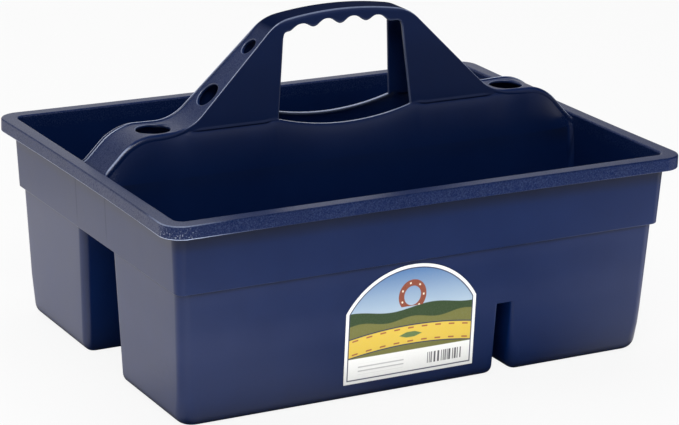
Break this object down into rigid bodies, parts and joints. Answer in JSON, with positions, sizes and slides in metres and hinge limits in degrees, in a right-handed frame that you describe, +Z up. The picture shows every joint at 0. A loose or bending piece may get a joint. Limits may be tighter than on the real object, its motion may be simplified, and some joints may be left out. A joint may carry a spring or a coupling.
{
  "type": "horse grooming box",
  "caption": "Moulded plastic carrying box with open wells under one rim and a hollow divider that rises into straps with tool holes, a hand hole and a finger grip.",
  "frame": {"origin": "on the floor, under the middle of the rim", "axes": "+X along the handle, -Y towards the labelled front, +Z up"},
  "size_m": [0.445, 0.334, 0.2723],
  "materials": {
    "navy_plastic": "satin moulded polypropylene in navy blue, with a fine texture",
    "label": "printed self-adhesive film with a white border"
  },
  "bodies": {
    "root": {"rim": "navy_plastic", "collar": "navy_plastic", "front_trough": "navy_plastic", "large_front_well": "navy_plastic", "small_front_well": "navy_plastic", "front_slot_bridge": "navy_plastic", "rear_well": "navy_plastic", "divider_front": "navy_plastic", "divider_rear": "navy_plastic", "strap_left": "navy_plastic", "strap_right": "navy_plastic", "cheek_front_left": "navy_plastic", "cheek_front_right": "navy_plastic", "cheek_rear_left": "navy_plastic", "cheek_rear_right": "navy_plastic", "grip": "navy_plastic", "label": "label"}
  },
  "joints": []
}
